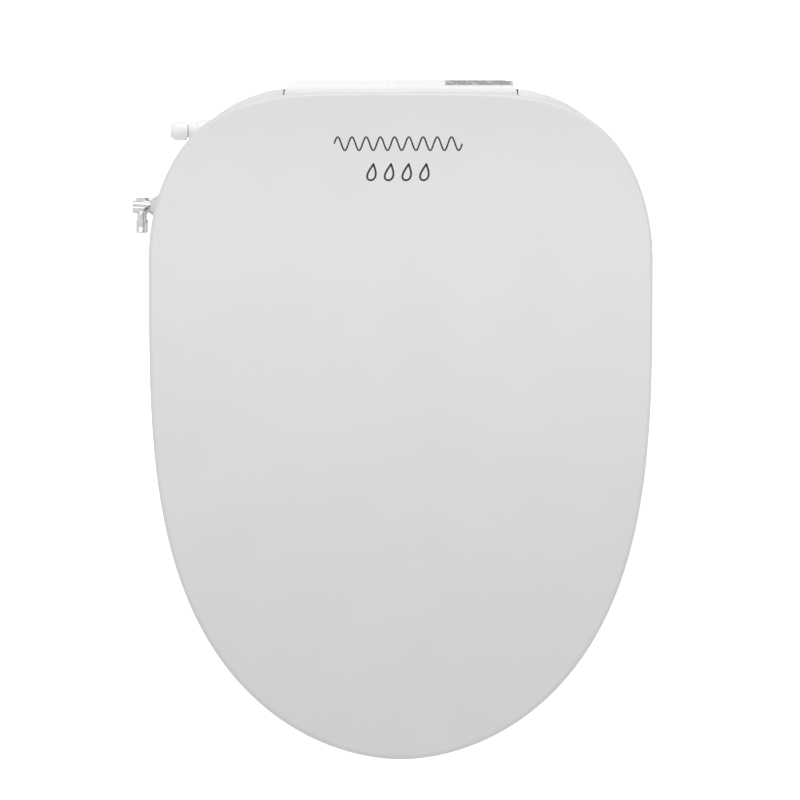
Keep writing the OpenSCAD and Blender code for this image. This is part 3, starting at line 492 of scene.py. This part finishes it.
# ---------------------------------------------------------------- printing
def printed(name, strokes, spot, body, thick=0.03 * MM):
    """Ink laid on a surface: each stroke is a flat ribbon along [u, v] points, in millimetres.

    spot turns u, v and a height above the surface, in metres, into a place."""
    verts, faces = [], []
    for points, width, closed in strokes:
        n, start = len(points), len(verts)
        for k, (u, v) in enumerate(points):
            before = points[k - 1] if k or closed else points[k]
            after = points[(k + 1) % n] if k < n - 1 or closed else points[k]
            du, dv = after[0] - before[0], after[1] - before[1]
            size = math.hypot(du, dv)
            nu, nv = -dv / size * width / 2, du / size * width / 2
            for side, height in ((1, thick), (-1, thick), (-1, -thick), (1, -thick)):
                verts.append(spot((u + nu * side) * MM, (v + nv * side) * MM, height))
        for k in range(n if closed else n - 1):
            a, b = start + 4 * k, start + 4 * ((k + 1) % n)
            faces += [(a + i, a + (i + 1) % 4, b + (i + 1) % 4, b + i) for i in range(4)]
        if not closed:
            faces += [(start + 3, start + 2, start + 1, start), tuple(range(len(verts) - 4, len(verts)))]
    return make(name, verts, faces, body, ink, smooth=False)


def on_lid(u, v, height):
    return u, v, lid_z(v) - 0.02 * MM + height


def wave(u0, u1, v, swing, count, steps=14):
    points = []
    for k in range(count * steps + 1):
        turn = 2 * math.pi * k / steps
        points.append((u0 + (u1 - u0) * k / (count * steps), v + swing * math.sin(turn)))
    return points


def drop(u, v, tall, lean=0.18):
    """Outline of a water drop, its point at the top, leaning to the right."""
    points = []
    for k in range(36):
        turn = 2 * math.pi * k / 36
        wide = 0.36 * math.sin(turn) * math.sin(turn / 2) ** 1.4
        high = 0.5 * math.cos(turn)
        points.append((u + tall * (wide + lean * high), v + tall * high))
    return points


lid_mark = [(wave(-51, 47, 20.5, 5.2, 9), 1.25, False)]
lid_mark += [(drop(u, -1.2, 12.5), 1.55, True) for u in (-22, -8.5, 5, 18.5)]
printed("lid_mark", lid_mark, on_lid, "lid")

PLATE_TOP, PLATE_FOOT = Vector((0, 65.4 * MM, 53.4 * MM)), Vector((0, 70 * MM, 47 * MM))
plate_lo, plate_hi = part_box("rating_plate")


def on_plate(u, v, height):
    down = (PLATE_FOOT - PLATE_TOP).normalized()
    out = Vector((0, -down.z, down.y))
    middle = (PLATE_TOP + PLATE_FOOT) / 2
    return tuple(Vector(((plate_lo.x + plate_hi.x) / 2 + u, 0, 0)) + middle - down * v + out * height)


def plate_lines():
    """Rows of short dashes of uneven length, like small print."""
    strokes = []
    for row, v in enumerate((2.0, 0.7, -0.6, -1.9)):
        u = -24.5
        for k in range(60):
            run = 0.7 + 2.1 * ((k * 7 + row * 5) % 9) / 9
            if u + run > 24.5:
                break
            if (k + row) % 7 != 3:
                strokes.append(([(u, v), (u + run, v)], 0.62, False))
            u += run + 0.55
    return strokes


printed("plate_print", plate_lines(), on_plate, "base", 0.02 * MM)


# ---------------------------------------------------------------- studio
def area_light(name, watts, place_m, aim_m, width, depth):
    data = bpy.data.lights.new(name, "AREA")
    data.shape, data.size, data.size_y, data.energy = "RECTANGLE", width, depth, watts
    lamp = bpy.data.objects.new(name, data)
    lamp.location = place_m
    lamp.rotation_euler = (Vector(aim_m) - Vector(place_m)).to_track_quat("-Z", "Y").to_euler()
    lamp.visible_camera = False
    bpy.context.scene.collection.objects.link(lamp)
    return lamp


def floor_paper():
    """Seamless studio paper: white, matt, with its faint fibre."""
    material, tree, shader = surface("studio_paper", Roughness=0.9, Emission_Strength=0.85,
                                     Emission_Color=linear("#FFFFFF"))
    where = add(tree, "TexCoord").outputs["Object"]
    fibre = add(tree, "TexNoise", {"Vector": where, "Scale": 1 / (300 * MM), "Detail": 2, "Roughness": 0.55})
    coated(tree, shader, "#F4F4F4", "#F1F1F1", fibre.outputs["Fac"], (0.4, 0.6))
    return material


FLOOR_REACH, FLOOR_Z = 6, cad_box[0].z
floor = bpy.data.objects.new("floor", bpy.data.meshes.new("floor"))
corners = [(x * FLOOR_REACH, y * FLOOR_REACH, FLOOR_Z) for x, y in ((-1, -1), (1, -1), (1, 1), (-1, 1))]
floor.data.from_pydata(corners, [], [(0, 1, 2, 3)])
floor.data.materials.append(floor_paper())
bpy.context.scene.collection.objects.link(floor)
floor.visible_diffuse = False
floor.visible_glossy = False

stage_lights = [
    area_light("key", 0.4625, (0.0, -0.10, 0.40), (0.0, -0.10, 0.0), 1.2, 0.10),
    area_light("back", 11.0, (0.0, 1.60, 0.75), (0.0, 0.05, 0.05), 2.0, 0.50),
]

world = bpy.data.worlds.new("studio")
world.use_nodes = True
sky = world.node_tree.nodes["Background"]
sky.inputs["Color"].default_value = linear("#FFFFFF")
sky.inputs["Strength"].default_value = 0.772
bpy.context.scene.world = world
bpy.context.scene.view_settings.view_transform = "Standard"

camera = bpy.data.objects.new("camera", bpy.data.cameras.new("camera"))
# far above, so that low pieces keep their true place beside the lid
HEIGHT = 24.0
SENSOR_MM = 36
FIELD_WIDTH = 0.612
camera.data.sensor_width = SENSOR_MM
camera.data.lens = SENSOR_MM * HEIGHT / FIELD_WIDTH
camera.data.clip_end = 100
camera.location = (-0.0006, -0.1756, HEIGHT + LID_TOP)
bpy.context.scene.collection.objects.link(camera)
bpy.context.scene.camera = camera
